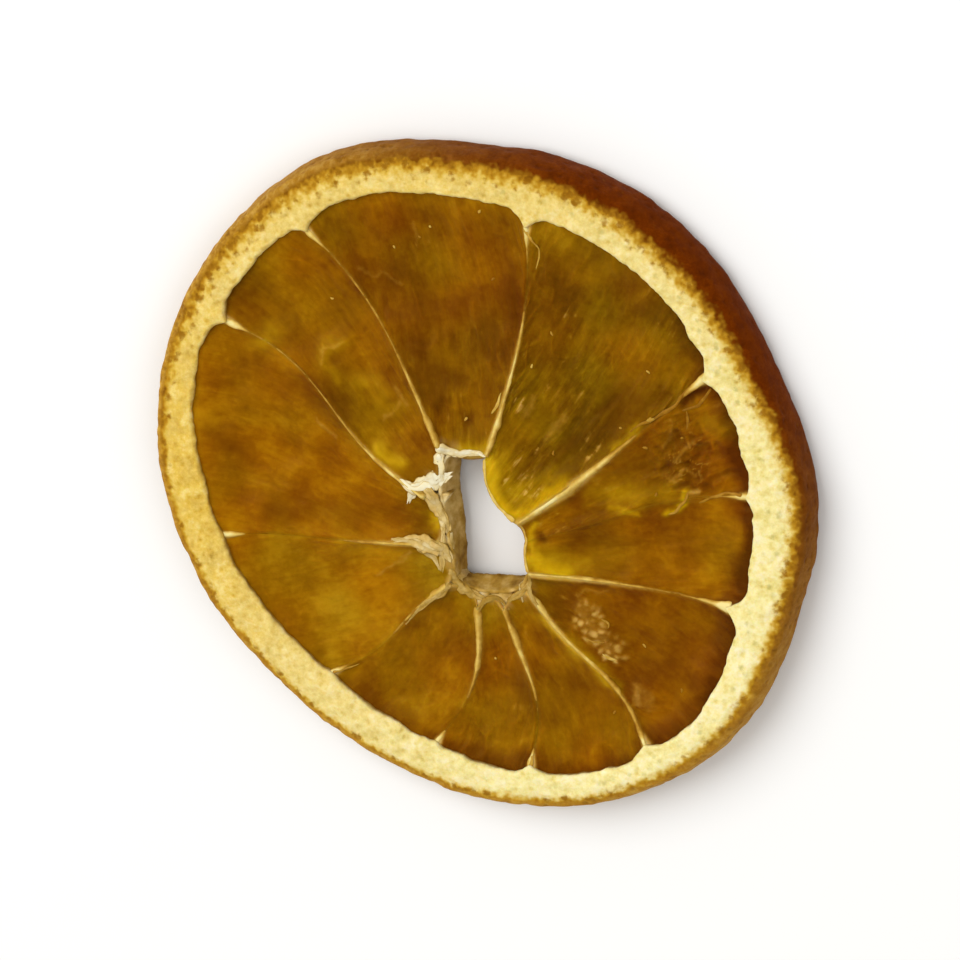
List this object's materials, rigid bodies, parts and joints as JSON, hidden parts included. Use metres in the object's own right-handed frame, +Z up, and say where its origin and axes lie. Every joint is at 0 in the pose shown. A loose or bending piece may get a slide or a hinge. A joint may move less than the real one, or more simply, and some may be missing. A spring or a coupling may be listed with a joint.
{
  "type": "dried orange slice",
  "caption": "Dried round of orange with a brown-orange rind, a pale pith ring, sunken amber segments between thin pale membranes and an open, ragged core.",
  "frame": {"origin": "on the surface the slice lies on, below the middle of its box", "axes": "+Z up through the slice, from its wider cut face to the narrower one that shows; +X towards the thickest part of the rim; +Y towards the wide segments beyond the open core"},
  "size_m": [0.063, 0.063, 0.0052],
  "materials": {
    "dried_fruit": "satin"
  },
  "bodies": {
    "root": {"dried_orange_slice": "dried_fruit"}
  },
  "joints": []
}
